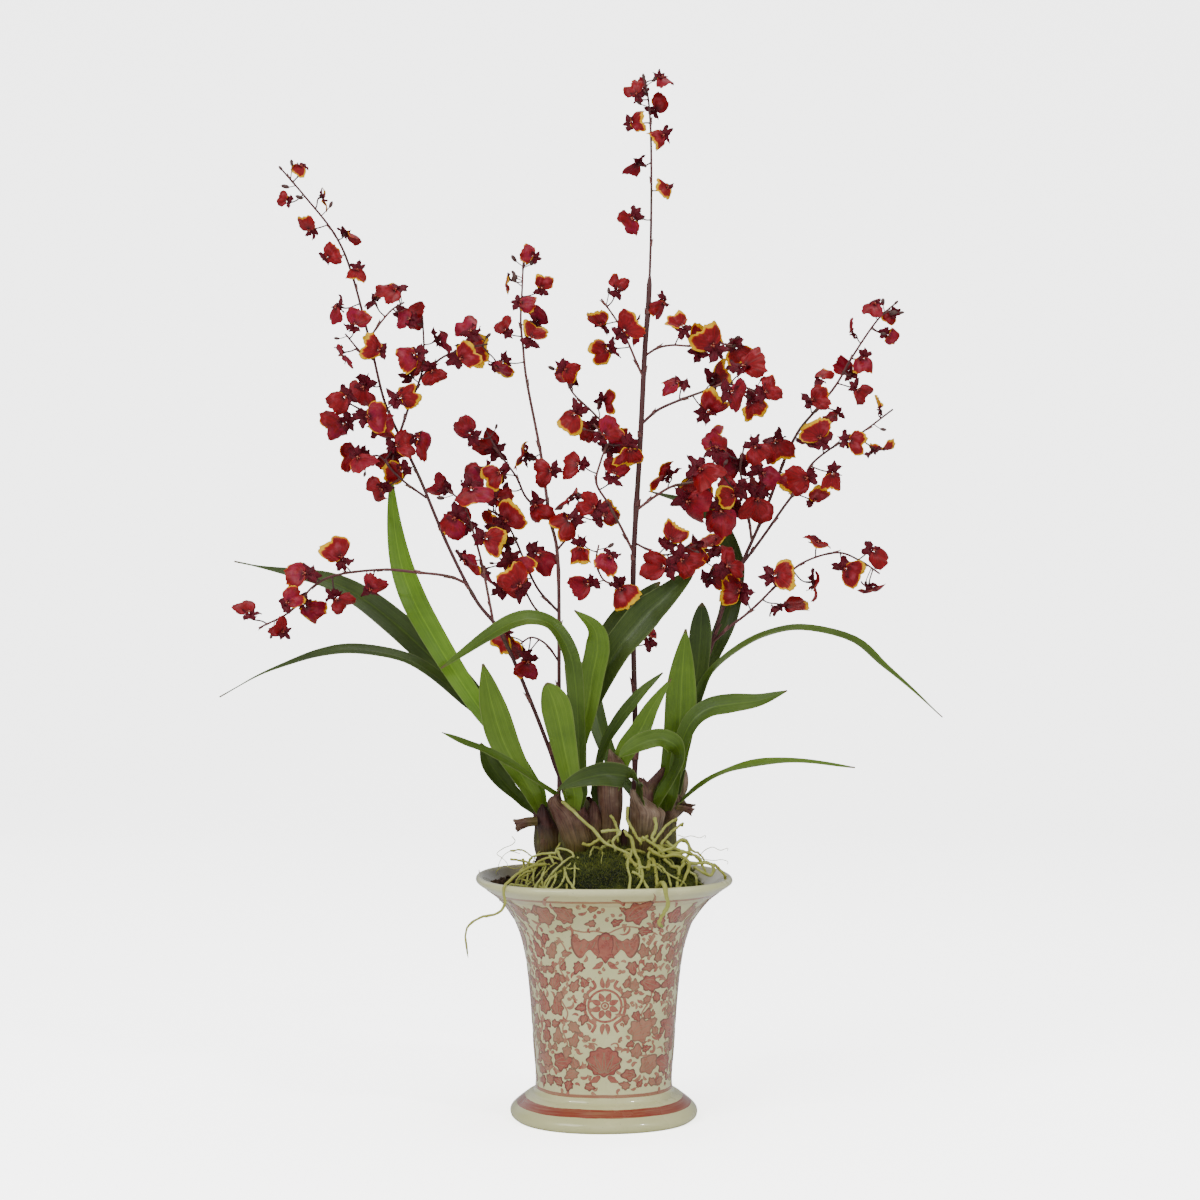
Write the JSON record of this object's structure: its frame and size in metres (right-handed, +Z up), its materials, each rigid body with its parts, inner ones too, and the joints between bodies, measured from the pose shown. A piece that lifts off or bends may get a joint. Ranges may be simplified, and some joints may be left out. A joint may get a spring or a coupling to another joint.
{
  "type": "potted oncidium orchid",
  "caption": "Oncidium orchid with branched sprays of small red blooms, strap leaves and moss, in a flared porcelain pot with coral painted ornament.",
  "frame": {"origin": "centre of the pot's underside, where it stands on the table", "axes": "+Z up along the pot's axis and the stalks, +Y to the back, the front with the painted ornament facing -Y"},
  "size_m": [0.5735, 0.2562, 0.8413],
  "materials": {
    "porcelain": "glazed pale celadon porcelain with coral-red painted ornament, glossy",
    "soil": "dark crumbly soil, matt",
    "moss": "dark green moss, matt and soft",
    "root": "pale yellow-green aerial roots, satin",
    "bulb": "olive green pseudobulbs, satin",
    "sheath": "purple-brown papery sheaths, matt",
    "leaf": "green strap leaves, soft satin sheen",
    "bloom": "dark red blooms with yellow ragged lip edges on thin maroon stems, matt"
  },
  "bodies": {
    "root": {"pot": "porcelain", "soil": "soil", "moss": "moss", "roots_left": "root", "roots_middle": "root", "roots_right": "root", "roots_back": "root", "pseudobulb_1": "bulb", "pseudobulb_2": "bulb", "pseudobulb_3": "bulb", "pseudobulb_4": "bulb", "pseudobulb_5": "bulb", "pseudobulb_6": "bulb", "pseudobulb_7": "bulb", "sheath_1": "sheath", "sheath_2": "sheath", "sheath_3": "sheath", "sheath_4": "sheath", "sheath_5": "sheath", "sheath_6": "sheath", "sheath_7": "sheath", "sheath_8": "sheath", "sheath_9": "sheath", "leaf_01": "leaf", "leaf_02": "leaf", "leaf_03": "leaf", "leaf_04": "leaf", "leaf_05": "leaf", "leaf_06": "leaf", "leaf_07": "leaf", "leaf_08": "leaf", "leaf_09": "leaf", "leaf_10": "leaf", "leaf_11": "leaf", "leaf_12": "leaf", "leaf_13": "leaf", "leaf_14": "leaf", "leaf_15": "leaf", "leaf_16": "leaf", "leaf_17": "leaf", "leaf_18": "leaf", "leaf_19": "leaf", "leaf_20": "leaf", "leaf_21": "leaf", "leaf_22": "leaf", "leaf_23": "leaf", "leaf_24": "leaf", "leaf_25": "leaf", "spike_left": "bloom", "spike_centre_left": "bloom", "spike_tall": "bloom", "spike_right": "bloom"}
  },
  "joints": []
}
